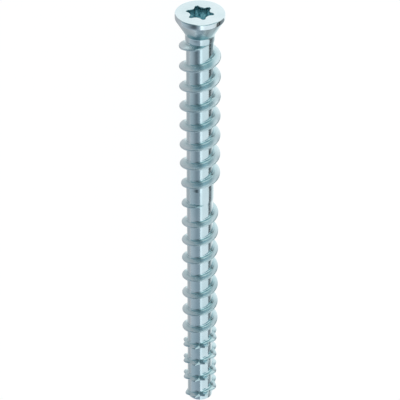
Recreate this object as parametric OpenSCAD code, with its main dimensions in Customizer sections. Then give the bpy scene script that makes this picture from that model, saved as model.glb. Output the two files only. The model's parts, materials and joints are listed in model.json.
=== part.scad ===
// Concrete screw with a countersunk head, a hexalobular recess, two rolled
// threads on one shank and cutting teeth on the turns next to the tip.
// It lies on its side: the axis runs along X from the head to the tip, the head
// rim and one thread crest rest on Z = 0, and the origin is under the middle.

/* [Length] */
// Whole length, from the head face to the tip
length = 100; // [90:1:160]

/* [Head] */
// Diameter of the head
head_d = 10; // [9:0.1:13]
// Height of the straight rim above the countersink
rim_h = 1.15; // [0.6:0.05:2]
// Bevel around the head face
rim_bevel = 0.15; // [0.05:0.05:0.4]
// Included angle of the countersink
countersink_angle = 60; // [50:1:90]
// Diameter of the plain neck under the countersink
neck_d = 6; // [5.8:0.05:7]
// Length of the plain neck
neck_length = 1.4; // [0.8:0.1:3]

/* [Drive recess] */
// Diameter across the six points of the recess
recess_d = 5.6; // [4.5:0.05:6.2]
// Diameter across the six waists of the recess
recess_waist_d = 3.95; // [3.2:0.05:4.4]
// Radius of the six rounded lobes
recess_lobe_r = 0.45; // [0.35:0.01:0.5]
// Depth of the straight walls
recess_depth = 2.8; // [1.5:0.1:3.2]
// Height of the cone below the straight walls
recess_point = 0.5; // [0.2:0.1:0.8]
// Turn of the recess about the axis
recess_turn = 45; // [0:1:60]

/* [Shank] */
// Diameter of the rolled core between the thread turns
core_d = 5.6; // [5:0.05:5.75]
// Diameter of the unrolled length between the two threads
blank_d = 5.8; // [5.8:0.05:6.4]
// Distance from the head face to the unrolled length
blank_start = 41; // [35:0.5:50]
// Length of the unrolled part, with its two shoulders
blank_length = 4.2; // [3:0.1:8]
// Length of each conical shoulder
shoulder_length = 0.6; // [0.3:0.1:1]

/* [Thread form] */
// Included angle between the two flanks of a thread turn
thread_angle = 30; // [20:1:50]
// Width of a thread turn at its crest
thread_crest_w = 0.38; // [0.3:0.02:0.6]

/* [Upper thread] */
// Diameter over the crests of the thread near the head
upper_d = 8.46; // [7.4:0.02:8.8]
// Advance of one turn of the upper thread
upper_pitch = 4.74; // [3.6:0.02:5.4]
// Angle about the axis at which the upper thread starts
upper_start_angle = 135; // [0:11.25:348.75]
// Angle over which the upper thread rises to its full height
upper_run_in = 110; // [60:5:180]
// Angle over which the upper thread sinks back into the core
upper_run_out = 140; // [60:5:270]
// Length by which the upper thread runs out over the unrolled part
upper_overrun = 1.2; // [0:0.1:2]

/* [Lower thread] */
// Diameter over the crests of the thread near the tip
lower_d = 7.84; // [7:0.02:8.4]
// Advance of one turn of the lower thread
lower_pitch = 4.83; // [3.6:0.02:5.4]
// Angle about the axis at which the lower thread starts
lower_start_angle = 157.5; // [0:11.25:348.75]
// Angle over which the lower thread rises to its full height
lower_run_in = 100; // [60:5:180]
// Angle over which the lower thread sinks back into the core at the tip
lower_run_out = 60; // [45:5:180]

/* [Cutting teeth] */
// Length next to the tip that carries cutting teeth
teeth_length = 19; // [8:0.5:30]
// Number of teeth in one turn
teeth_per_turn = 8; // [4, 8]
// Angle about the axis that one notch between two teeth takes
notch_angle = 34; // [24:1:44]
// Height of thread left at the bottom of the notches
notch_floor = 0.3; // [0.1:0.05:0.6]

/* [Hidden] */

// Facets around the threads, and around true circles in previews
thread_facets = 32;
circle_facets = 96;
// Steps along each arc of the recess
recess_steps = 8;
// Share of the recess's waist that the cone at its bottom takes, and of its height that it starts early
point_share = 0.85;
point_lead = 0.1;
// Depth by which joined solids run into each other
overlap = 1;
// Depth by which the blank's cones start inside the core
cone_sink = 0.2;
// Distance from the middle of the upper thread's first ring to the neck's end
upper_lead = 0.24;
// Distance from the middle of the lower thread's first ring to the blank's end
lower_lead = 0.4;
// Distance from the middle of the lower thread's last ring to the tip
lower_trail = 0.3;
// Least distance from the thread to the tip
tip_land = 0.05;
// Share of its full width at which a thread starts and ends
end_width = 0.3;

head_r = head_d/2;
neck_r = neck_d/2;
core_r = core_d/2;
blank_r = blank_d/2;
upper_r = upper_d/2;
lower_r = lower_d/2;

countersink_end = rim_h + (head_r - neck_r)/tan(countersink_angle/2);
neck_end = countersink_end + neck_length;
blank_end = blank_start + blank_length;
teeth_start = length - teeth_length;

// Lobe and waist arcs of the recess touch each other, which gives the waist's radius
lobe_at = recess_d/2 - recess_lobe_r;
recess_waist_r = (recess_lobe_r^2 - recess_waist_d^2/4 - lobe_at^2 + lobe_at*recess_waist_d*cos(30))
    /(recess_waist_d - 2*lobe_at*cos(30) - 2*recess_lobe_r);
waist_at = recess_waist_d/2 + recess_waist_r;
// Half the angle of a lobe's arc and of a waist's arc
lobe_half = 180 - atan2(waist_at*sin(30), lobe_at - waist_at*cos(30));
waist_half = lobe_half - 30;

angle_step = 360/thread_facets;
upper_first = neck_end - upper_lead;
lower_first = blank_end - lower_lead;
// Rings of the upper thread until it has run out over the blank
upper_rings = floor((blank_start + upper_overrun - upper_first)/upper_pitch*thread_facets);
// Rings of the lower thread until it has run out at the tip
lower_rings = floor((length - lower_trail - lower_first)/lower_pitch*thread_facets);

// The screw rests on its rim and on the last full crest that faces down
down_turns = floor(((teeth_start - lower_first)/lower_pitch*360 + lower_start_angle)/360);
rest_crest = lower_first + lower_pitch*(down_turns - lower_start_angle/360);
rest_tilt = atan((head_r - lower_r)/(rest_crest - rim_h));
rest_lift = rim_h*sin(rest_tilt) + head_r*cos(rest_tilt);
head_reach = (head_r - rim_bevel)*sin(rest_tilt);
tip_reach = length*cos(rest_tilt) + core_r*sin(rest_tilt);

// Share of the full height at a ring: 0 at the first and the last, 1 in between
function rise(ring, rings, run_in, run_out) =
    min(1, ring*angle_step/run_in, (rings - ring)*angle_step/run_out);

// Crest radius of the lower thread: low at the notches, full at the teeth between
function cutting_r(angle, along) = let (
        turns = angle*teeth_per_turn/360,
        off = abs(turns - round(turns))*360/teeth_per_turn,
        share = min(1, off/(notch_angle/2))
    ) along < teeth_start ? lower_r : core_r + notch_floor + (lower_r - core_r - notch_floor)*share;

// Section of the thread at one ring, as [along, radius] from head side to tip side.
// full_r is the crest radius without notches, and share is how far the thread has risen.
function section(along, full_r, crest_r, share) = let (
        width = end_width + (1 - end_width)*share,
        crest = thread_crest_w/2*width,
        root = crest + (full_r - core_r)*tan(thread_angle/2)*width,
        top = core_r + (crest_r - core_r)*share
    ) [
        [along - root, core_r],
        [along - crest, top],
        [along + crest, top],
        [min(along + root, length - tip_land), core_r]
    ];

function around(point, angle) = [point[1]*cos(angle), point[1]*sin(angle), point[0]];

// A faceted core from z0 to z1 with a right-hand thread rolled onto it.
// sections holds one thread section per ring, and angles the rings' angles.
module threaded_core(z0, z1, sections, angles) {
    n = len(sections);
    turn = thread_facets;
    columns = 4;
    first_cap = n*columns;
    last_cap = first_cap + turn;
    rings = [for (k = [0:n - 1]) for (p = sections[k]) around(p, angles[k])];
    first_ring = [for (k = [0:turn - 1]) around([z0, core_r], angles[k])];
    last_ring = [for (k = [0:turn - 1]) around([z1, core_r], angles[n - turn + k])];
    function at(k, c) = k*columns + c;
    // Thread flanks and crest, ring by ring
    thread_faces = [for (k = [0:n - 2]) for (c = [0:columns - 2]) each [
        [at(k, c), at(k, c + 1), at(k + 1, c)],
        [at(k, c + 1), at(k + 1, c + 1), at(k + 1, c)]
    ]];
    // Core between one turn and the next
    core_faces = [for (k = [0:n - turn - 2]) each [
        [at(k, columns - 1), at(k + turn, 0), at(k + 1, columns - 1)],
        [at(k + turn, 0), at(k + turn + 1, 0), at(k + 1, columns - 1)]
    ]];
    // Core from the first flat end to the first turn
    first_faces = [for (k = [0:turn - 2]) each [
        [first_cap + k, at(k, 0), first_cap + k + 1],
        [at(k, 0), at(k + 1, 0), first_cap + k + 1]
    ]];
    first_seam = [at(turn - 1, 0), at(turn, 0), for (c = [columns - 1:-1:0]) at(0, c),
        first_cap, first_cap + turn - 1];
    // Core from the last turn to the last flat end
    last_faces = [for (k = [0:turn - 2]) let (j = n - turn + k) each [
        [at(j, columns - 1), last_cap + k, at(j + 1, columns - 1)],
        [last_cap + k, last_cap + k + 1, at(j + 1, columns - 1)]
    ]];
    last_seam = [at(n - turn, columns - 1), at(n - 1 - turn, columns - 1),
        for (c = [0:columns - 1]) at(n - 1, c), last_cap + turn - 1, last_cap];
    first_flat = [for (k = [0:turn - 1]) first_cap + k];
    last_flat = [for (k = [turn - 1:-1:0]) last_cap + k];
    polyhedron(
        concat(rings, first_ring, last_ring),
        concat(thread_faces, core_faces, first_faces, last_faces,
            [first_seam, last_seam, first_flat, last_flat]),
        convexity = 20);
}

// Threaded length between the neck and the blank
module upper_threaded_core() {
    angles = [for (k = [0:upper_rings]) upper_start_angle + k*angle_step];
    sections = [for (k = [0:upper_rings]) section(
        upper_first + upper_pitch*k/thread_facets,
        upper_r,
        upper_r,
        rise(k, upper_rings, upper_run_in, upper_run_out))];
    threaded_core(neck_end - overlap, blank_start + upper_overrun + overlap, sections, angles);
}

// Threaded length between the blank and the tip, with its cutting teeth
module lower_threaded_core() {
    angles = [for (k = [0:lower_rings]) lower_start_angle + k*angle_step];
    sections = [for (k = [0:lower_rings]) let (along = lower_first + lower_pitch*k/thread_facets) section(
        along,
        lower_r,
        cutting_r(angles[k], along),
        rise(k, lower_rings, lower_run_in, lower_run_out))];
    threaded_core(blank_end - overlap, length, sections, angles);
}

// Head, countersink and neck, turned about the axis
module head() {
    rotate_extrude($fn = circle_facets)
        polygon([
            [0, 0], [head_r - rim_bevel, 0], [head_r, rim_bevel], [head_r, rim_h],
            [neck_r, countersink_end], [neck_r, neck_end], [0, neck_end]
        ]);
}

// Unrolled length of the shank with a cone at each end
module blank() {
    sink_length = shoulder_length*cone_sink/(blank_r - core_r);
    rotate_extrude($fn = circle_facets)
        polygon([
            [0, blank_start - sink_length],
            [core_r - cone_sink, blank_start - sink_length],
            [blank_r, blank_start + shoulder_length],
            [blank_r, blank_end - shoulder_length],
            [core_r - cone_sink, blank_end + sink_length],
            [0, blank_end + sink_length]
        ]);
}

// Outline of the six-lobed recess, with a lobe's arc and a waist's arc in turn
module recess_outline() {
    function turned(p, angle) = [p[0]*cos(angle) - p[1]*sin(angle), p[0]*sin(angle) + p[1]*cos(angle)];
    function lobe_point(t) = [lobe_at + recess_lobe_r*cos(lobe_half*t), recess_lobe_r*sin(lobe_half*t)];
    function waist_point(t) = turned(
        [waist_at - recess_waist_r*cos(waist_half*t), recess_waist_r*sin(waist_half*t)], 30);
    polygon([for (lobe = [0:5]) each [
        for (k = [0:recess_steps]) turned(lobe_point(2*k/recess_steps - 1), lobe*60),
        for (k = [1:recess_steps - 1]) turned(waist_point(2*k/recess_steps - 1), lobe*60)
    ]]);
}

// Six-lobed recess of the drive, open at the head face
module drive_recess() {
    point_d = recess_waist_d*point_share;
    rotate([0, 0, recess_turn]) {
        translate([0, 0, -overlap])
            linear_extrude(recess_depth + overlap)
                recess_outline();
        translate([0, 0, recess_depth - recess_point*point_lead])
            cylinder(h = recess_point*(1 + point_lead), d1 = point_d*(1 + point_lead), d2 = 0,
                $fn = circle_facets);
    }
}

// The whole screw with its axis upright and its head face at Z = 0
module upright_screw() {
    difference() {
        union() {
            head();
            upper_threaded_core();
            blank();
            lower_threaded_core();
        }
        drive_recess();
    }
}

module screw() {
    color("#9fb4bd")
        translate([(head_reach - tip_reach)/2, 0, rest_lift])
            rotate([0, 90 + rest_tilt, 0])
                upright_screw();
}

screw();
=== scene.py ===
"""Concrete screw of zinc-plated steel, lying as it comes to rest, under plain studio light.

Each part of the screw is a class that holds its sizes in millimetres and models its own mesh.
The screw is modelled upright, with its head face at Z = 0 and its tip at the top, and is then
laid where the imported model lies.
"""

import json
import logging
import math
from collections.abc import Callable, Sequence
from dataclasses import dataclass, field
from enum import Enum

import bpy
from mathutils import Matrix, Vector


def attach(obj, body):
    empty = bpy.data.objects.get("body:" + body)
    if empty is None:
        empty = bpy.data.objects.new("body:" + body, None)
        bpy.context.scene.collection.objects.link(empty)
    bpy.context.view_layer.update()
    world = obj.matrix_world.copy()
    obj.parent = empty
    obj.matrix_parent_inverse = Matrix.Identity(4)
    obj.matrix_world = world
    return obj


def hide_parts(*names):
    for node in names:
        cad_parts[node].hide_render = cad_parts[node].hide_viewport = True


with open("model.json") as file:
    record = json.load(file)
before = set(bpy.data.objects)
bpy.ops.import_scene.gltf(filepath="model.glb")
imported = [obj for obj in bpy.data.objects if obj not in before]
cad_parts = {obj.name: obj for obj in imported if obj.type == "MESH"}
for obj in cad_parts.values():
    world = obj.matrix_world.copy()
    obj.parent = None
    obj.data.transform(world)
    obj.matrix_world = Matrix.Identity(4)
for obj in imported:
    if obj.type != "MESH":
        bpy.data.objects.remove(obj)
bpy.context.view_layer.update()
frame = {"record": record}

log = logging.getLogger("concrete_screw")

MM = 0.001
TURN = 360.0
# Distances in millimetres: a fine one for merging and cutting, and one within which two places are the same
MERGE_MM = 1e-4
MATCH_MM = 1e-3

# Pairs of a place and the sRGB hex colour there, from the first place to the last
Tones = tuple[tuple[float, str], ...]


class Zone(Enum):
    """Zones of the screw where the passivation tint and its painted shade differ."""

    RECESS = "recess"
    FACE_AND_RIM = "face and rim"
    COUNTERSINK = "countersink"
    NECK = "neck"
    BLANK = "blank"
    ROLLED_SHANK = "rolled shank"


def linear(hex_colour: str) -> tuple[float, float, float, float]:
    """Turns an sRGB hex colour into linear light.

    Args:
        hex_colour: Colour such as "#c8d8de".

    Returns:
        Red, green, blue and alpha in linear light.
    """
    shares = [int(hex_colour[i:i + 2], 16) / 255 for i in (1, 3, 5)]
    light = [s / 12.92 if s <= 0.04045 else ((s + 0.055) / 1.055) ** 2.4 for s in shares]
    return (*light, 1.0)


def add_node(tree: bpy.types.NodeTree, kind: str, inputs: dict | None = None, **settings) -> bpy.types.Node:
    """Adds a node, sets its properties and fills its inputs.

    Args:
        tree: Node tree that the node goes into.
        kind: Node type, such as "ShaderNodeTexNoise".
        inputs: Values, or output sockets to link, by the input's name or number.
        **settings: Properties of the node itself.

    Returns:
        The new node.
    """
    node = tree.nodes.new(kind)
    for name, value in settings.items():
        setattr(node, name, value)
    for name, value in (inputs or {}).items():
        if isinstance(value, bpy.types.NodeSocket):
            tree.links.new(value, node.inputs[name])
        else:
            node.inputs[name].default_value = value
    return node


def add_tones(
        tree: bpy.types.NodeTree, value: bpy.types.NodeSocket, tones: Tones, unit: float = 1.0,
) -> bpy.types.NodeSocket:
    """Adds a ramp of tones over a value.

    Args:
        tree: Node tree that the ramp goes into.
        value: Output socket that moves along the tones.
        tones: Tones by their place, of which the first and the last go on beyond their places.
        unit: Value at the place 1.

    Returns:
        The output socket with the tone.
    """
    first = tones[0][0]
    last = tones[-1][0]
    way = add_node(tree, "ShaderNodeMapRange", {
        "Value": value, "From Min": first * unit, "From Max": last * unit})
    node = add_node(tree, "ShaderNodeValToRGB", {"Fac": way.outputs["Result"]})
    stops = [((place - first) / (last - first), tone) for place, tone in tones]
    # A new ramp has its first and last stops already
    for place, _ in stops[1:-1]:
        node.color_ramp.elements.new(place)
    for element, (place, tone) in zip(node.color_ramp.elements, stops):
        element.position = place
        element.color = linear(tone)
    return node.outputs["Color"]


def add_fade(
        tree: bpy.types.NodeTree, value: bpy.types.NodeSocket, span: tuple[float, float],
        colours: tuple[bpy.types.NodeSocket, bpy.types.NodeSocket],
) -> bpy.types.NodeSocket:
    """Adds a fade from one colour to another.

    Args:
        tree: Node tree that the fade goes into.
        value: Output socket that moves along the fade.
        span: Values at which the fade starts and ends.
        colours: Output sockets with the first and the second colour.

    Returns:
        The output socket with the mixed colour.
    """
    start, end = span
    share = add_node(tree, "ShaderNodeMapRange", {"Value": value, "From Min": start, "From Max": end})
    first, second = colours
    mixed = add_node(tree, "ShaderNodeMix", {
        "Factor": share.outputs["Result"], "A": first, "B": second}, data_type="RGBA")
    return mixed.outputs["Result"]


def deselect_all() -> None:
    """Deselects every object, because an operator acts on all that is selected."""
    bpy.ops.object.select_all(action="DESELECT")


def activate(obj: bpy.types.Object) -> None:
    """Makes an object the only selected one and the active one."""
    deselect_all()
    obj.select_set(True)
    bpy.context.view_layer.objects.active = obj


def apply_modifier(obj: bpy.types.Object, kind: str, **settings) -> None:
    """Adds a modifier to an object and applies it.

    Args:
        obj: Object to change.
        kind: Modifier type, such as "BEVEL".
        **settings: Properties of the modifier.
    """
    activate(obj)
    modifier = obj.modifiers.new(kind.lower(), kind)
    for name, value in settings.items():
        setattr(modifier, name, value)
    bpy.ops.object.modifier_apply(modifier=modifier.name)


def report(obj: bpy.types.Object) -> None:
    """Logs an object's name and its number of faces."""
    log.info("%s: %d faces", obj.name, len(obj.data.polygons))


def join_solid(base: bpy.types.Object, added: bpy.types.Object) -> None:
    """Joins a closed solid to another one and removes the object that it was.

    Args:
        base: Solid that stays.
        added: Solid that becomes a part of it.
    """
    apply_modifier(base, "BOOLEAN", object=added, operation="UNION", solver="EXACT")
    bpy.data.objects.remove(added)


def draw_line(name: str, points: Sequence[tuple[float, float]]) -> bpy.types.Object:
    """Draws an open line in the XZ plane by extruding one vertex from point to point.

    Args:
        name: Name of the new object.
        points: Pairs of radius and height, in millimetres.

    Returns:
        An object with one vertex per point, left in edit mode.
    """
    deselect_all()
    bpy.ops.mesh.primitive_plane_add(size=MM)
    obj = bpy.context.object
    obj.name = name
    places = [Vector((radius, 0, height)) * MM for radius, height in points]
    bpy.ops.object.mode_set(mode="EDIT")
    bpy.ops.mesh.select_mode(type="VERT")
    bpy.ops.mesh.select_all(action="SELECT")
    bpy.ops.mesh.merge(type="CENTER")
    bpy.ops.transform.translate(value=places[0])
    for here, there in zip(places, places[1:]):
        bpy.ops.mesh.extrude_vertices_move(TRANSFORM_OT_translate={"value": there - here})
    return obj


def close_mesh() -> None:
    """Merges the edited mesh's doubled vertices, turns its faces outwards and leaves edit mode."""
    bpy.ops.mesh.select_all(action="SELECT")
    bpy.ops.mesh.remove_doubles(threshold=MERGE_MM * MM)
    bpy.ops.mesh.normals_make_consistent(inside=False)
    bpy.ops.object.mode_set(mode="OBJECT")


def ring_stack(name: str, facets: int, rings: Sequence[tuple[float, float]]) -> bpy.types.Object:
    """Models a turned solid from a circle that is extruded and resized ring by ring.

    Args:
        name: Name of the new object.
        facets: Number of vertices in a ring.
        rings: Pairs of radius and height, in millimetres.

    Returns:
        The open tube, in edit mode, with its last ring selected.
    """
    deselect_all()
    radius, height = rings[0]
    bpy.ops.mesh.primitive_circle_add(vertices=facets, radius=radius * MM, location=(0, 0, height * MM))
    obj = bpy.context.object
    obj.name = name
    bpy.ops.object.transform_apply(location=True, rotation=False, scale=False)
    bpy.ops.object.mode_set(mode="EDIT")
    bpy.ops.mesh.select_all(action="SELECT")
    bpy.ops.mesh.edge_face_add()
    bpy.ops.mesh.select_mode(type="EDGE")
    for here, there in zip(rings, rings[1:]):
        extrude_ring(there[1] - here[1], there[0] / here[0])
    return obj


def extrude_ring(rise: float, growth: float) -> None:
    """Extrudes the selected ring along the axis and resizes it.

    Args:
        rise: Way along the axis, in millimetres.
        growth: New size of the ring as a multiple of its old one.
    """
    bpy.ops.mesh.extrude_edges_move(TRANSFORM_OT_translate={"value": (0, 0, rise * MM)})
    bpy.ops.transform.resize(value=(growth, growth, 1), center_override=(0, 0, 0))


def round_ring(obj: bpy.types.Object, height: float, width: float, segments: int) -> None:
    """Bevels the outer ring of a turned solid at one height into a rounding.

    Args:
        obj: Turned solid in edit mode.
        height: Height of the ring, in millimetres.
        width: Way that the rounding takes on each side of the ring, in millimetres.
        segments: Number of faces across the rounding.
    """
    bpy.ops.mesh.select_mode(type="VERT")
    bpy.ops.mesh.select_all(action="DESELECT")
    bpy.ops.object.mode_set(mode="OBJECT")
    level = [vertex for vertex in obj.data.vertices if abs(vertex.co.z / MM - height) < MATCH_MM]
    outer = max(vertex.co.xy.length for vertex in level)
    for vertex in level:
        vertex.select = vertex.co.xy.length > outer - MATCH_MM * MM
    bpy.ops.object.mode_set(mode="EDIT")
    bpy.ops.mesh.select_mode(type="EDGE")
    bpy.ops.mesh.bevel(offset=width * MM, segments=segments, affect="EDGES")


def move_vertices(obj: bpy.types.Object, place: Callable[[Vector], Vector]) -> None:
    """Moves every vertex of an object to where a rule says.

    Args:
        obj: Object in object mode.
        place: Rule that takes a vertex's place and returns its new one, in millimetres.
    """
    for vertex in obj.data.vertices:
        vertex.co = place(vertex.co / MM) * MM
    obj.data.update()


def turned(x_axis: Vector, y_axis: Vector, z_axis: Vector) -> Matrix:
    """The rotation that turns the three axes to these directions."""
    return Matrix((x_axis, y_axis, z_axis)).transposed().to_4x4()


@dataclass(frozen=True)
class Pose:
    """Where the screw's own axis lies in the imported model."""

    head_centre: Vector
    to_tip: Vector

    @classmethod
    def of_frame(cls) -> "Pose":
        """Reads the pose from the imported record's mount at the drive recess."""
        mount = next(m for m in frame["record"]["mounts"] if m["name"] == "drive_recess")
        return cls(Vector(mount["pos_m"]), -Vector(mount["axis"]).normalized())

    @property
    def upwards(self) -> Vector:
        """The direction across the axis that points up."""
        return -Vector((0, 1, 0)).cross(self.to_tip)

    def matrix(self) -> Matrix:
        """The move from the upright screw to the lying one."""
        return Matrix.Translation(self.head_centre) @ turned(-self.upwards, Vector((0, 1, 0)), self.to_tip)

    def on_axis(self, along: float) -> Vector:
        """The point on the axis at a distance in millimetres from the head face."""
        return self.head_centre + self.to_tip * along * MM


@dataclass
class Recess:
    """Six-lobed drive recess, with sizes in millimetres and degrees."""

    lobes: int = 6
    diameter: float = 5.6
    waist_diameter: float = 3.95
    lobe_radius: float = 0.45
    turn: float = 45.0
    mouth_chamfer: float = 0.12
    depth: float = 2.8
    floor_chamfer: float = 0.5
    point_depth: float = 3.3
    face_edge: float = 0.2

    @property
    def half_step(self) -> float:
        """Angle from the middle of a lobe to the middle of the waist beside it."""
        return TURN / self.lobes / 2

    @property
    def lobe_centre(self) -> float:
        """Distance from the axis to the centre of a lobe's arc."""
        return self.diameter / 2 - self.lobe_radius

    @property
    def waist_radius(self) -> float:
        """Radius of a waist's arc, which touches the lobes on both its sides."""
        lobe = self.lobe_centre
        waist = self.waist_diameter / 2
        across = math.cos(math.radians(self.half_step))
        over = self.lobe_radius ** 2 - waist ** 2 - lobe ** 2 + 2 * lobe * waist * across
        return over / (2 * (waist - lobe * across - self.lobe_radius))

    def outline(self, angle: float) -> float:
        """Radius of the outline at an angle about the axis.

        Args:
            angle: Angle in degrees.

        Returns:
            Radius in millimetres, on a lobe's arc or on the arc of the waist beside it.
        """
        half_step = self.half_step
        from_lobe = abs((angle - self.turn + half_step) % (2 * half_step) - half_step)
        waist_centre = self.waist_diameter / 2 + self.waist_radius
        waist_turn = math.radians(half_step)
        lobe = Vector((self.lobe_centre, 0))
        waist = Vector((math.cos(waist_turn), math.sin(waist_turn))) * waist_centre
        touch = lobe + (waist - lobe).normalized() * self.lobe_radius
        off = math.radians(from_lobe)
        if off < math.atan2(touch.y, touch.x):
            half_chord = math.sqrt(self.lobe_radius ** 2 - (lobe.x * math.sin(off)) ** 2)
            return lobe.x * math.cos(off) + half_chord
        off = waist_turn - off
        half_chord = math.sqrt(self.waist_radius ** 2 - (waist_centre * math.sin(off)) ** 2)
        return waist_centre * math.cos(off) - half_chord

    def shape_ring(self, growth: float) -> Callable[[Vector], Vector]:
        """A rule that moves a round ring's vertices onto the outline.

        Args:
            growth: Width in millimetres by which the ring stands outside the outline.

        Returns:
            The rule, from a place to its new one.
        """
        def place(point: Vector) -> Vector:
            """Moves one vertex along its radius."""
            angle = math.atan2(point.y, point.x)
            radius = self.outline(math.degrees(angle)) + growth
            return Vector((radius * math.cos(angle), radius * math.sin(angle), point.z))
        return place

    def sink(self, face_radius: float) -> None:
        """Models the recess from the selected ring around the head face, down to its point.

        Args:
            face_radius: Radius of that ring, in millimetres.
        """
        extrude_ring(0, 1 - self.face_edge / face_radius)
        extrude_ring(0, 1)
        self._shape_selected(self.mouth_chamfer + self.face_edge)
        extrude_ring(0, 1)
        self._shape_selected(self.mouth_chamfer)
        extrude_ring(self.mouth_chamfer, 1)
        self._shape_selected(0)
        extrude_ring(self.depth - self.mouth_chamfer, 1)
        extrude_ring(self.floor_chamfer / 2, 1 - self.floor_chamfer / self.waist_diameter * 2)
        extrude_ring(self.point_depth - self.depth - self.floor_chamfer / 2, 1)
        bpy.ops.mesh.merge(type="CENTER")

    def _shape_selected(self, growth: float) -> None:
        """Moves the selected ring's vertices onto the outline, a growth in millimetres outside it."""
        place = self.shape_ring(growth)
        obj = bpy.context.object
        bpy.ops.object.mode_set(mode="OBJECT")
        for vertex in obj.data.vertices:
            if vertex.select:
                vertex.co = place(vertex.co / MM) * MM
        bpy.ops.object.mode_set(mode="EDIT")


@dataclass
class Head:
    """Countersunk head with its neck and its drive recess, with sizes in millimetres and degrees."""

    diameter: float = 10.0
    rim_height: float = 1.15
    rim_bevel: float = 0.15
    countersink_angle: float = 60.0
    neck_diameter: float = 6.0
    neck_length: float = 1.4
    neck_blend: float = 0.25
    neck_segments: int = 10
    rim_blend: float = 0.1
    rim_segments: int = 6
    edge_round: float = 0.1
    edge_segments: int = 3
    # Edges that turn by more than this are rounded
    edge_angle: float = 25.0
    facets: int = 144
    recess: Recess = field(default_factory=Recess)

    @property
    def countersink_end(self) -> float:
        """Distance from the head face to the end of the countersink."""
        drop = (self.diameter - self.neck_diameter) / 2
        return self.rim_height + drop / math.tan(math.radians(self.countersink_angle / 2))

    @property
    def neck_end(self) -> float:
        """Distance from the head face to the end of the neck."""
        return self.countersink_end + self.neck_length

    def build(self) -> bpy.types.Object:
        """Models the head from its neck to its face and down into the recess.

        Returns:
            A closed solid.
        """
        rim = self.diameter / 2
        neck = self.neck_diameter / 2
        face = rim - self.rim_bevel
        obj = ring_stack("head", self.facets, [
            (neck, self.neck_end),
            (neck, self.countersink_end),
            (rim, self.rim_height),
            (rim, self.rim_bevel),
            (face, 0),
        ])
        self.recess.sink(face)
        round_ring(obj, self.countersink_end, self.neck_blend, self.neck_segments)
        round_ring(obj, self.rim_height, self.rim_blend, self.rim_segments)
        close_mesh()
        apply_modifier(
            obj, "BEVEL", width=self.edge_round * MM, segments=self.edge_segments,
            limit_method="ANGLE", angle_limit=math.radians(self.edge_angle))
        return obj


@dataclass
class Blank:
    """Unrolled length of the shank between the two threads, with sizes in millimetres."""

    diameter: float = 5.8
    start: float = 41.0
    length: float = 4.2
    shoulder_length: float = 0.6
    shoulder_sink: float = 0.2
    flat_edge: float = 0.1
    facets: int = 144

    @property
    def end(self) -> float:
        """Distance from the head face to the end of the blank."""
        return self.start + self.length

    def build(self, core_diameter: float) -> bpy.types.Object:
        """Models the blank, with cones that start inside the rolled core.

        Args:
            core_diameter: Diameter of the rolled core.

        Returns:
            A closed solid.
        """
        radius = self.diameter / 2
        inside = core_diameter / 2 - self.shoulder_sink
        slope = self.shoulder_length / (self.diameter - core_diameter) * 2
        sink = self.shoulder_sink * slope
        obj = ring_stack("blank", self.facets, [
            (inside, self.start - sink),
            (radius, self.start + self.shoulder_length),
            (radius, self.start + self.shoulder_length + self.flat_edge),
            (radius, self.end - self.shoulder_length - self.flat_edge),
            (radius, self.end - self.shoulder_length),
            (inside, self.end + sink),
        ])
        bpy.ops.mesh.edge_face_add()
        close_mesh()
        return obj


@dataclass
class CuttingTeeth:
    """Teeth on the turns next to the tip, with sizes in millimetres and degrees."""

    start: float = 81.0
    per_turn: int = 8
    notch_floor: float = 0.55
    notch_angle: float = 34.0

    def share(self, angle: float, along: float, height: float) -> float:
        """Share of the thread's height that is left at a place.

        Args:
            angle: Angle about the axis, in degrees.
            along: Distance from the head face.
            height: Full height of the thread.

        Returns:
            1 along a tooth and above the teeth, and less in a notch.
        """
        if along < self.start:
            return 1.0
        step = TURN / self.per_turn
        off = abs((angle + step / 2) % step - step / 2)
        floor = self.notch_floor / height
        return floor + (1 - floor) * min(1.0, off / (self.notch_angle / 2))


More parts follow.
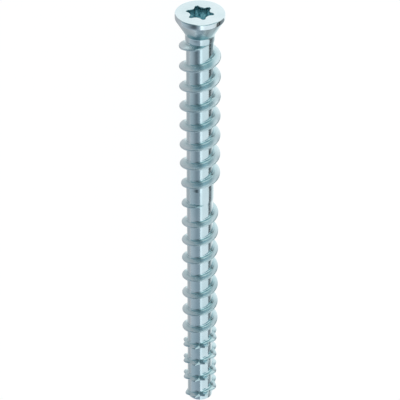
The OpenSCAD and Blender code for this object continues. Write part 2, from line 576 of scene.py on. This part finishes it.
@dataclass
class RolledThread:
    """One of the two threads with the core that it is rolled on, with sizes in millimetres and degrees."""

    name: str
    diameter: float
    pitch: float
    first: float
    last: float
    start_angle: float
    run_in: float
    run_out: float
    core_diameter: float
    core_start: float
    core_end: float
    teeth: CuttingTeeth | None = None
    thread_angle: float = 30.0
    crest_width: float = 0.38
    end_width: float = 0.3
    root_round: float = 0.45
    root_segments: int = 6
    crest_round: float = 0.16
    crest_segments: int = 3
    # Width of the strip beside a rounding that keeps the land flat
    land_edge: float = 0.05
    steps: int = 96

    @property
    def height(self) -> float:
        """Height of the thread above its core."""
        return (self.diameter - self.core_diameter) / 2

    @property
    def root_width(self) -> float:
        """Width of a turn at its root."""
        return self.crest_width + 2 * self.height * math.tan(math.radians(self.thread_angle / 2))

    @property
    def sweep(self) -> float:
        """Angle from the first to the last point of the thread."""
        return (self.last - self.first) / self.pitch * TURN

    def build(self) -> bpy.types.Object:
        """Models the core with its thread from one section that spans a full pitch.

        Returns:
            A closed solid with flat ends.
        """
        obj = self._draw_section()
        self._sweep_section(obj)
        move_vertices(obj, self._form)
        self._cut_ends(obj)
        return obj

    def _draw_section(self) -> bpy.types.Object:
        """Draws the section through one turn and rounds its roots and crest.

        Returns:
            The section as a line, in object mode.
        """
        core = self.core_diameter / 2
        crest = self.diameter / 2
        root = self.root_width / 2
        half = [
            (core, self.pitch / 2),
            (core, root + self.root_round + self.land_edge),
            (core, root),
            (crest, self.crest_width / 2),
        ]
        points = [(radius, -height) for radius, height in half] + half[::-1]
        obj = draw_line(self.name, points)
        self._round_corners(obj, root, self.root_round, self.root_segments)
        self._round_corners(obj, self.crest_width / 2, self.crest_round, self.crest_segments)
        bpy.ops.object.mode_set(mode="OBJECT")
        return obj

    def _round_corners(self, obj: bpy.types.Object, off: float, width: float, segments: int) -> None:
        """Bevels the section's two corners at one distance from its middle.

        Args:
            obj: Section in edit mode.
            off: Distance from the section's middle to the corners.
            width: Way along each edge that the rounding takes.
            segments: Number of edges in the rounding.
        """
        bpy.ops.mesh.select_all(action="DESELECT")
        bpy.ops.object.mode_set(mode="OBJECT")
        for vertex in obj.data.vertices:
            vertex.select = abs(abs(vertex.co.z / MM) - off) < MATCH_MM
        bpy.ops.object.mode_set(mode="EDIT")
        bpy.ops.mesh.bevel(offset=width * MM, segments=segments, affect="VERTICES")

    def _sweep_section(self, obj: bpy.types.Object) -> None:
        """Sweeps the section along the helix, with a spare turn at each end.

        Args:
            obj: Section in object mode.
        """
        turns = math.ceil(self.sweep / TURN) + 2
        apply_modifier(
            obj, "SCREW", axis="Z", angle=math.tau, screw_offset=self.pitch * MM, iterations=turns,
            steps=self.steps, render_steps=self.steps, use_merge_vertices=False)
        place = Matrix.Translation((0, 0, (self.first - self.pitch) * MM))
        obj.data.transform(place @ Matrix.Rotation(math.radians(self.start_angle), 4, "Z"))

    def _form(self, point: Vector) -> Vector:
        """Gives a vertex of the swept section its height: full, running in or out, or notched.

        Args:
            point: Place of the vertex, in millimetres.

        Returns:
            The new place.
        """
        radius = math.hypot(point.x, point.y)
        angle = math.degrees(math.atan2(point.y, point.x))
        angle += round((point.z - self._middle(angle)) / self.pitch) * TURN
        middle = self._middle(angle)
        passed = angle - self.start_angle
        rise = max(0.0, min(1.0, passed / self.run_in, (self.sweep - passed) / self.run_out))
        width = self.end_width + (1 - self.end_width) * rise
        share = rise * (self.teeth.share(angle, middle, self.height) if self.teeth else 1.0)
        core = self.core_diameter / 2
        formed = core + (radius - core) * share
        off = point.z - middle
        on_land = abs(off) > self.pitch / 2 - MATCH_MM
        along = point.z if on_land else middle + off * width
        return Vector((point.x * formed / radius, point.y * formed / radius, along))

    def _middle(self, angle: float) -> float:
        """Distance from the head face to the thread's middle at an angle in degrees."""
        return self.first + self.pitch * (angle - self.start_angle) / TURN

    def _cut_ends(self, obj: bpy.types.Object) -> None:
        """Cuts the spare turns off flat and closes the ends.

        Args:
            obj: Swept thread in object mode.
        """
        activate(obj)
        bpy.ops.object.mode_set(mode="EDIT")
        bpy.ops.mesh.select_all(action="SELECT")
        bpy.ops.mesh.remove_doubles(threshold=MATCH_MM * MM)
        for height, side in ((self.core_start, -1), (self.core_end, 1)):
            bpy.ops.mesh.select_all(action="SELECT")
            bpy.ops.mesh.bisect(
                plane_co=(0, 0, height * MM), plane_no=(0, 0, side), use_fill=True, clear_outer=True,
                threshold=MERGE_MM * MM)
        close_mesh()


@dataclass(frozen=True)
class ZincPlating:
    """Zinc plating with a clear blue passivation on cold-formed steel.

    The plating gives a bright, slightly soft mirror, which is duller on the flanks of the threads.
    The passivation film tints it teal. Its share also carries painted shade: more in the recess, down the
    countersink and at the roots, and less on the face and towards the crests, for light that bounces twice
    there.
    """

    name: str = "blue_passivated_zinc_plated_steel"
    bright: str = "#e0eff3"
    film_and_shade: str = "#a4ccd2"
    film_and_shade_attribute: str = "film_and_shade"
    film_and_shade_in_recess: float = 0.65
    film_and_shade_on_face: float = 0.05
    film_and_shade_on_core: float = 0.3
    # Painted shade that the film's tint gains down the countersink and at a root, and loses again from root
    # to crest
    painted_shade_down_cone: float = 0.6
    painted_shade_at_root: float = 0.35
    painted_shade_loss_to_crest: float = 0.6
    root_height_mm: float = 0.12
    flank_height_mm: float = 1.2
    dull_attribute: str = "dull"
    dull_height_mm: float = 0.15
    # Middle part of a noise texture's range, which holds nearly all of its values
    noise_range: tuple[float, float] = (0.3, 0.7)
    patch_size_mm: float = 5.0
    patch_detail: float = 3.0
    patch_depth: float = 0.3
    grain_size_mm: float = 0.3
    grain_detail: float = 4.0
    grain_depth_mm: float = 0.003
    grain_strength: float = 0.3
    roughness: tuple[float, float] = (0.1, 0.2)
    dull_roughness: float = 0.18

    def film_and_shade_share(self, zone: Zone, down_cone: float, height: float) -> float:
        """How strong the film's tint with its painted shade is at a place.

        Args:
            zone: Zone that the place is in.
            down_cone: Share of the countersink from the rim to the place.
            height: Height of the place above the core, in millimetres.

        Returns:
            Strength of the tint and painted shade, which is 1 at its fullest.
        """
        # Painted shade: the tint is stronger in the recess, down the countersink and at the roots, and
        # fades towards the crests
        if zone is Zone.RECESS:
            return self.film_and_shade_in_recess
        if zone is Zone.FACE_AND_RIM:
            return self.film_and_shade_on_face
        if zone is Zone.COUNTERSINK:
            return self.film_and_shade_on_core + self.painted_shade_down_cone * down_cone
        if zone is Zone.ROLLED_SHANK:
            rooted = min(1.0, height / self.root_height_mm)
            towards_crest = max(0.0, min(1.0, (height - self.root_height_mm) / self.flank_height_mm))
            return self.film_and_shade_on_core + self.painted_shade_at_root * rooted - self.painted_shade_loss_to_crest * towards_crest
        return self.film_and_shade_on_core

    def material(self) -> bpy.types.Material:
        """Makes the material.

        Returns:
            A node material that reads Object coordinates and the screw's own two attributes.
        """
        material = bpy.data.materials.new(self.name)
        material.use_nodes = True
        tree = material.node_tree
        shader = tree.nodes["Principled BSDF"]
        place = add_node(tree, "ShaderNodeTexCoord").outputs["Object"]
        film_and_shade = add_node(tree, "ShaderNodeAttribute", attribute_name=self.film_and_shade_attribute)
        least, most = self.noise_range
        # Cloudy patches in the film, as a passivation bath leaves them
        patches = add_node(tree, "ShaderNodeTexNoise", {
            "Vector": place, "Scale": 1 / (self.patch_size_mm * MM), "Detail": self.patch_detail})
        offset = add_node(tree, "ShaderNodeMapRange", {
            "Value": patches.outputs["Fac"], "From Min": least, "From Max": most,
            "To Min": -self.patch_depth / 2, "To Max": self.patch_depth / 2})
        share = add_node(tree, "ShaderNodeMath", {
            0: film_and_shade.outputs["Fac"], 1: offset.outputs["Result"]}, operation="ADD", use_clamp=True)
        # Mixes towards the teal tint, which also carries painted shade in the recess, under the head and at
        # the roots
        colour = add_node(tree, "ShaderNodeMix", {
            "Factor": share.outputs[0], "A": linear(self.bright), "B": linear(self.film_and_shade)}, data_type="RGBA")
        # Fine crystal grain of the zinc, drawn coarser than it is so that it shows
        grain = add_node(tree, "ShaderNodeTexNoise", {
            "Vector": place, "Scale": 1 / (self.grain_size_mm * MM), "Detail": self.grain_detail})
        low, high = self.roughness
        rough = add_node(tree, "ShaderNodeMapRange", {
            "Value": grain.outputs["Fac"], "From Min": least, "From Max": most,
            "To Min": low, "To Max": high})
        # The rolling dies burnish the core and leave the flanks of the thread duller
        dull = add_node(tree, "ShaderNodeAttribute", attribute_name=self.dull_attribute)
        rough = add_node(tree, "ShaderNodeMath", {
            0: dull.outputs["Fac"], 1: self.dull_roughness, 2: rough.outputs["Result"]},
            operation="MULTIPLY_ADD", use_clamp=True)
        bump = add_node(tree, "ShaderNodeBump", {
            "Height": grain.outputs["Fac"], "Strength": self.grain_strength,
            "Distance": self.grain_depth_mm * MM})
        shader.inputs["Metallic"].default_value = 1.0
        tree.links.new(colour.outputs["Result"], shader.inputs["Base Color"])
        tree.links.new(rough.outputs[0], shader.inputs["Roughness"])
        tree.links.new(bump.outputs["Normal"], shader.inputs["Normal"])
        return material


@dataclass
class ConcreteScrew:
    """The whole screw: head, two threads, the blank between them and the cutting teeth."""

    length: float = 100.0
    core_diameter: float = 5.6
    overlap: float = 1.0
    upper_lead: float = 0.24
    upper_overrun: float = 1.2
    lower_lead: float = 0.4
    lower_trail: float = 0.3
    # Height over the blank's surface up to which a place counts as on the blank
    blank_margin: float = 0.01
    crease_angle: float = 32.0
    head: Head = field(default_factory=Head)
    blank: Blank = field(default_factory=Blank)
    teeth: CuttingTeeth = field(default_factory=CuttingTeeth)
    plating: ZincPlating = field(default_factory=ZincPlating)

    def upper_thread(self) -> RolledThread:
        """The thread between the neck and the blank."""
        last = self.blank.start + self.upper_overrun
        return RolledThread(
            "upper_thread", diameter=8.46, pitch=4.74, start_angle=135.0, run_in=110.0, run_out=140.0,
            first=self.head.neck_end - self.upper_lead, last=last,
            core_diameter=self.core_diameter, core_start=self.head.neck_end - self.overlap,
            core_end=last + self.overlap)

    def lower_thread(self) -> RolledThread:
        """The thread between the blank and the tip, with the cutting teeth."""
        return RolledThread(
            "lower_thread", diameter=7.84, pitch=4.83, start_angle=157.5, run_in=100.0, run_out=60.0,
            first=self.blank.end - self.lower_lead, last=self.length - self.lower_trail,
            core_diameter=self.core_diameter, core_start=self.blank.end - self.overlap,
            core_end=self.length, teeth=self.teeth)

    def zone(self, point: Vector) -> Zone:
        """Finds the zone of a place on the upright screw.

        Args:
            point: Place on the surface, in millimetres.

        Returns:
            The zone that the place is in.
        """
        radius = point.xy.length
        recess = self.head.recess
        if point.z < self.head.neck_end:
            mouth = recess.diameter / 2 + recess.mouth_chamfer
            if radius < mouth and point.z > recess.mouth_chamfer:
                return Zone.RECESS
            if point.z < self.head.rim_height:
                return Zone.FACE_AND_RIM
            return Zone.NECK if point.z > self.head.countersink_end else Zone.COUNTERSINK
        on_blank = self.blank.start < point.z < self.blank.end
        if on_blank and radius < self.blank.diameter / 2 + self.blank_margin:
            return Zone.BLANK
        return Zone.ROLLED_SHANK

    def film_and_shade_share(self, point: Vector) -> float:
        """How strong the passivation tint with its painted shade is at a place on the upright screw.

        Args:
            point: Place on the surface, in millimetres.

        Returns:
            Strength of the tint and painted shade, which is 1 at its fullest.
        """
        cone_length = self.head.countersink_end - self.head.rim_height
        down_cone = (point.z - self.head.rim_height) / cone_length
        height = point.xy.length - self.core_diameter / 2
        return self.plating.film_and_shade_share(self.zone(point), down_cone, height)

    def dull_share(self, point: Vector) -> float:
        """How dull the plating is at a place on the upright screw.

        Args:
            point: Place on the surface, in millimetres.

        Returns:
            0 on the head, the core, the blank and the teeth, up to 1 on the flanks of the threads.
        """
        if point.z < self.head.neck_end or point.z > self.teeth.start:
            return 0.0
        above = point.xy.length - max(self.core_diameter, self.blank.diameter) / 2
        return max(0.0, min(1.0, above / self.plating.dull_height_mm))

    def build(self, pose: Pose) -> bpy.types.Object:
        """Models the screw, lays it down and dresses it.

        Args:
            pose: Where the screw lies.

        Returns:
            The finished piece.
        """
        screw = self.head.build()
        report(screw)
        upper = self.upper_thread().build()
        blank = self.blank.build(self.core_diameter)
        lower = self.lower_thread().build()
        for solid in (upper, blank, lower):
            report(solid)
            join_solid(screw, solid)
        screw.name = "concrete_screw"
        screw.data.name = screw.name
        shares = {
            self.plating.film_and_shade_attribute: self.film_and_shade_share,
            self.plating.dull_attribute: self.dull_share,
        }
        for name, share in shares.items():
            attribute = screw.data.attributes.new(name, "FLOAT", "POINT")
            attribute.data.foreach_set("value", [share(v.co / MM) for v in screw.data.vertices])
        screw.matrix_world = pose.matrix()
        activate(screw)
        bpy.ops.object.transform_apply(location=True, rotation=True, scale=True)
        bpy.ops.object.shade_smooth_by_angle(angle=math.radians(self.crease_angle))
        screw.data.materials.clear()
        screw.data.materials.append(self.plating.material())
        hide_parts("screw")
        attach(screw, "root")
        report(screw)
        return screw


@dataclass
class Panel:
    """A flat soft light that faces the screw, with sizes in millimetres and degrees."""

    name: str
    radiance: float
    lean: float
    spread: float
    distance: float
    along: float
    length: float

    def build(self, pose: Pose) -> bpy.types.Object:
        """Adds the light.

        Args:
            pose: Where the screw lies.

        Returns:
            The light, which the camera doesn't see.
        """
        data = bpy.data.lights.new(self.name, "AREA")
        data.shape = "RECTANGLE"
        data.size = self.length * MM
        data.size_y = 2 * self.distance * math.tan(math.radians(self.spread / 2)) * MM
        data.energy = self.radiance * math.pi * data.size * data.size_y
        lamp = bpy.data.objects.new(self.name, data)
        bpy.context.scene.collection.objects.link(lamp)
        lean = math.radians(self.lean)
        back = Vector((0, math.sin(lean), math.cos(lean)))
        side = Vector((1, 0, 0))
        place = pose.on_axis(self.along) + back * self.distance * MM
        lamp.matrix_world = Matrix.Translation(place) @ turned(side, back.cross(side), back)
        lamp.visible_camera = False
        return lamp


@dataclass
class PaintedReflectionCard:
    """A flat glowing card beside the screw that shows only in the metal as a painted reflection, with sizes
    in millimetres.
    """

    name: str
    # Places along the axis, the first at the card's start, with the tones there by their distance beside
    # the axis, the first at the card's near edge
    stations: tuple[tuple[float, Tones], ...]
    length: float = 400.0
    reach: float = 400.0
    lift: float = 0.05

    def build(self, pose: Pose) -> bpy.types.Object:
        """Adds the card, flat over the floor.

        Args:
            pose: Where the screw lies.

        Returns:
            The card, which is part of the stage.
        """
        deselect_all()
        bpy.ops.mesh.primitive_plane_add(size=1)
        card = bpy.context.object
        card.name = self.name
        start, tones = self.stations[0]
        near = tones[0][0]
        far = math.copysign(self.reach, near)
        card.scale = (self.length * MM, abs(far - near) * MM, 1)
        along = pose.on_axis(start).x + self.length / 2 * MM
        card.location = (along, (near + far) / 2 * MM, self.lift * MM)
        bpy.ops.object.transform_apply(location=True, rotation=True, scale=True)
        card.data.materials.append(self._material(pose))
        # Painted reflection: the glowing card is hidden from the camera, from diffuse light and from
        # shadows, so it shows only in the metal
        card.visible_camera = False
        card.visible_diffuse = False
        card.visible_transmission = False
        card.visible_shadow = False
        return card

    def _material(self, pose: Pose) -> bpy.types.Material:
        """Makes the card's painted reflection tones, which fade into each other along the card and across
        it.

        Args:
            pose: Where the screw lies.

        Returns:
            A material that glows in those tones.
        """
        material = bpy.data.materials.new(self.name)
        material.use_nodes = True
        tree = material.node_tree
        tree.nodes.clear()
        place = add_node(tree, "ShaderNodeTexCoord").outputs["Object"]
        way = add_node(tree, "ShaderNodeSeparateXYZ", {"Vector": place})
        before, tones = self.stations[0]
        colour = add_tones(tree, way.outputs["Y"], tones, MM)
        for along, tones in self.stations[1:]:
            span = (pose.on_axis(before).x, pose.on_axis(along).x)
            next_colour = add_tones(tree, way.outputs["Y"], tones, MM)
            colour = add_fade(tree, way.outputs["X"], span, (colour, next_colour))
            before = along
        glow = add_node(tree, "ShaderNodeEmission", {"Color": colour, "Strength": 1.0})
        add_node(tree, "ShaderNodeOutputMaterial", {"Surface": glow.outputs[0]})
        return material


@dataclass
class Studio:
    """Floor, lights and camera, with sizes in millimetres, degrees and pixels of the 400 by 400 picture."""

    floor_size: float = 4000.0
    floor_colour: str = "#fafbfb"
    floor_glow: float = 0.85
    floor_white: float = 1.11
    camera_lean: float = 35.96
    camera_aim: float = 45.55
    camera_distance: float = 368.8
    focal_px: float = 1740.65
    image_px: float = 400.0
    sensor_mm: float = 36.0
    # Tones of the room by the direction's share from left to right, in four parts from tip to head
    past_tip: Tones = (
        (-0.9, "#c2c8cf"), (-0.65, "#b2bac4"), (-0.4, "#a0abb6"), (-0.1, "#98a3ae"), (0.15, "#838e98"),
        (0.3, "#5a6570"), (0.78, "#5a6570"), (0.82, "#22282b"))
    over_middle: Tones = (
        (-0.9, "#c2c8cf"), (-0.75, "#a1a8b0"), (-0.6, "#777e86"), (-0.5, "#586067"), (-0.42, "#465057"),
        (-0.3, "#535b63"), (-0.18, "#848e97"), (-0.05, "#9ea8b3"), (0.15, "#b8c2c8"), (0.35, "#5a6570"),
        (0.78, "#5a6570"), (0.82, "#22282b"))
    over_head: Tones = (
        (-0.9, "#8298a1"), (-0.4, "#5c7078"), (-0.3, "#5c7078"), (-0.06, "#9cbec2"), (0.3, "#98bcc2"),
        (0.6, "#6c949e"), (0.95, "#c0d2d4"))
    past_head: Tones = (
        (-0.9, "#8298a1"), (-0.4, "#5c7078"), (-0.3, "#5c7078"), (-0.06, "#f4faf9"), (0.3, "#f4faf9"),
        (0.7, "#b4c8ca"))
    # Shares of the direction from head to tip between which each part fades into the next
    room_fades: tuple[tuple[float, float], ...] = ((0.63, 0.5), (0.42, 0.02), (-0.5, -0.8))
    # Painted reflection tones, which glowing cards show in the metal in place of the floor, with painted
    # dark bands and painted shade near the screw, by the distance from the axis, to the right and to the
    # left of it
    right_of_head: Tones = (
        (6.5, "#ffffff"), (7.8, "#e6eaec"), (9.3, "#a6acaf"), (12.0, "#8e9498"), (24.0, "#7c8286"),
        (38.0, "#5c6164"), (48.0, "#303436"))
    right_of_neck: Tones = (
        (6.5, "#ffffff"), (8.0, "#e6eaec"), (9.7, "#b0b5b8"), (13.0, "#949a9d"), (24.0, "#868b8e"),
        (38.0, "#6c7174"), (50.0, "#34383a"))
    right_of_shank: Tones = (
        (6.5, "#ffffff"), (9.5, "#e8ebed"), (13.0, "#c4c8cb"), (20.0, "#b0b4b7"), (30.0, "#9a9ea1"),
        (38.0, "#4e5458"), (46.0, "#1a1d1e"))
    right_past_tip: Tones = ((6.5, "#a6aaac"), (60.0, "#a6aaac"))
    left_of_screw: Tones = (
        (-3.5, "#dedadb"), (-8.0, "#bcbbbe"), (-13.0, "#b4b3b7"), (-22.0, "#c0bdc1"), (-45.0, "#c2bfc3"))
    left_past_head: Tones = ((-9.0, "#c0bfc1"), (-29.0, "#b0b1b4"))

    def build(self, pose: Pose) -> None:
        """Makes the floor, the lights and the camera.

        Args:
            pose: Where the screw lies.
        """
        self._floor()
        self._world()
        Panel(
            "key_panel", radiance=0.77, lean=40.5, spread=79.0, distance=900.0, along=1245.0, length=2110.0,
        ).build(pose)
        self._painted_reflection_cards(pose)
        self._camera(pose)

    def _painted_reflection_cards(self, pose: Pose) -> None:
        """Lays the glowing cards that paint the floor's reflection in the metal, with its dark bands and
        shade.

        Args:
            pose: Where the screw lies.
        """
        PaintedReflectionCard("right_painted_reflection_card", (
            (5.0, self.right_of_head), (14.0, self.right_of_neck), (28.0, self.right_of_shank),
            (120.0, self.right_of_shank), (136.0, self.right_past_tip))).build(pose)
        PaintedReflectionCard("left_painted_reflection_card", ((2.0, self.left_of_screw),)).build(pose)
        PaintedReflectionCard("head_painted_reflection_card", ((-80.0, self.left_past_head),), length=82.0).build(pose)

    def _floor(self) -> None:
        """Makes the pale floor, which stays white to the eye and in the metal and keeps the shadow."""
        deselect_all()
        bpy.ops.mesh.primitive_plane_add(size=self.floor_size * MM)
        floor = bpy.context.object
        floor.name = "floor"
        material = bpy.data.materials.new("matt_white_floor")
        material.use_nodes = True
        tree = material.node_tree
        tree.nodes.clear()
        rays = add_node(tree, "ShaderNodeLightPath")
        seen = add_node(tree, "ShaderNodeMath", {
            0: rays.outputs["Is Camera Ray"], 1: rays.outputs["Is Glossy Ray"]}, operation="MAXIMUM")
        seen = add_node(tree, "ShaderNodeMath", {
            0: seen.outputs[0], 1: rays.outputs["Is Transmission Ray"]}, operation="MAXIMUM")
        share = add_node(tree, "ShaderNodeMath", {
            0: seen.outputs[0], 1: self.floor_glow}, operation="MULTIPLY")
        matt = add_node(tree, "ShaderNodeBsdfDiffuse", {"Color": linear(self.floor_colour)})
        white = add_node(tree, "ShaderNodeEmission", {"Strength": self.floor_white})
        mixed = add_node(tree, "ShaderNodeMixShader", {
            0: share.outputs[0], 1: matt.outputs[0], 2: white.outputs[0]})
        add_node(tree, "ShaderNodeOutputMaterial", {"Surface": mixed.outputs[0]})
        floor.data.materials.append(material)

    def _world(self) -> None:
        """Fills the room with dim light, which changes across the screw and along it."""
        world = bpy.data.worlds.new("dim_room")
        world.use_nodes = True
        tree = world.node_tree
        place = add_node(tree, "ShaderNodeTexCoord").outputs["Generated"]
        way = add_node(tree, "ShaderNodeSeparateXYZ", {"Vector": place})
        tone = add_tones(tree, way.outputs["Y"], self.past_tip)
        for span, tones in zip(self.room_fades, (self.over_middle, self.over_head, self.past_head)):
            next_tone = add_tones(tree, way.outputs["Y"], tones)
            tone = add_fade(tree, way.outputs["X"], span, (tone, next_tone))
        tree.links.new(tone, tree.nodes["Background"].inputs["Color"])
        bpy.context.scene.world = world

    def _camera(self, pose: Pose) -> None:
        """Places the camera over the screw, with the head at the top of the picture.

        Args:
            pose: Where the screw lies.
        """
        data = bpy.data.cameras.new("camera")
        data.sensor_width = self.sensor_mm
        data.lens = self.sensor_mm * self.focal_px / self.image_px
        camera = bpy.data.objects.new("camera", data)
        bpy.context.scene.collection.objects.link(camera)
        lean = math.radians(self.camera_lean)
        back = pose.upwards * math.cos(lean) - pose.to_tip * math.sin(lean)
        up = -pose.to_tip * math.cos(lean) - pose.upwards * math.sin(lean)
        place = pose.on_axis(self.camera_aim) + back * self.camera_distance * MM
        camera.matrix_world = Matrix.Translation(place) @ turned(up.cross(back), up, back)
        bpy.context.scene.camera = camera


def main() -> None:
    """Builds the studio and the screw in order."""
    logging.basicConfig(level=logging.INFO, format="%(name)s: %(message)s")
    bpy.context.scene.view_settings.view_transform = "Standard"
    pose = Pose.of_frame()
    Studio().build(pose)
    ConcreteScrew().build(pose)


if __name__ == "__main__":
    main()
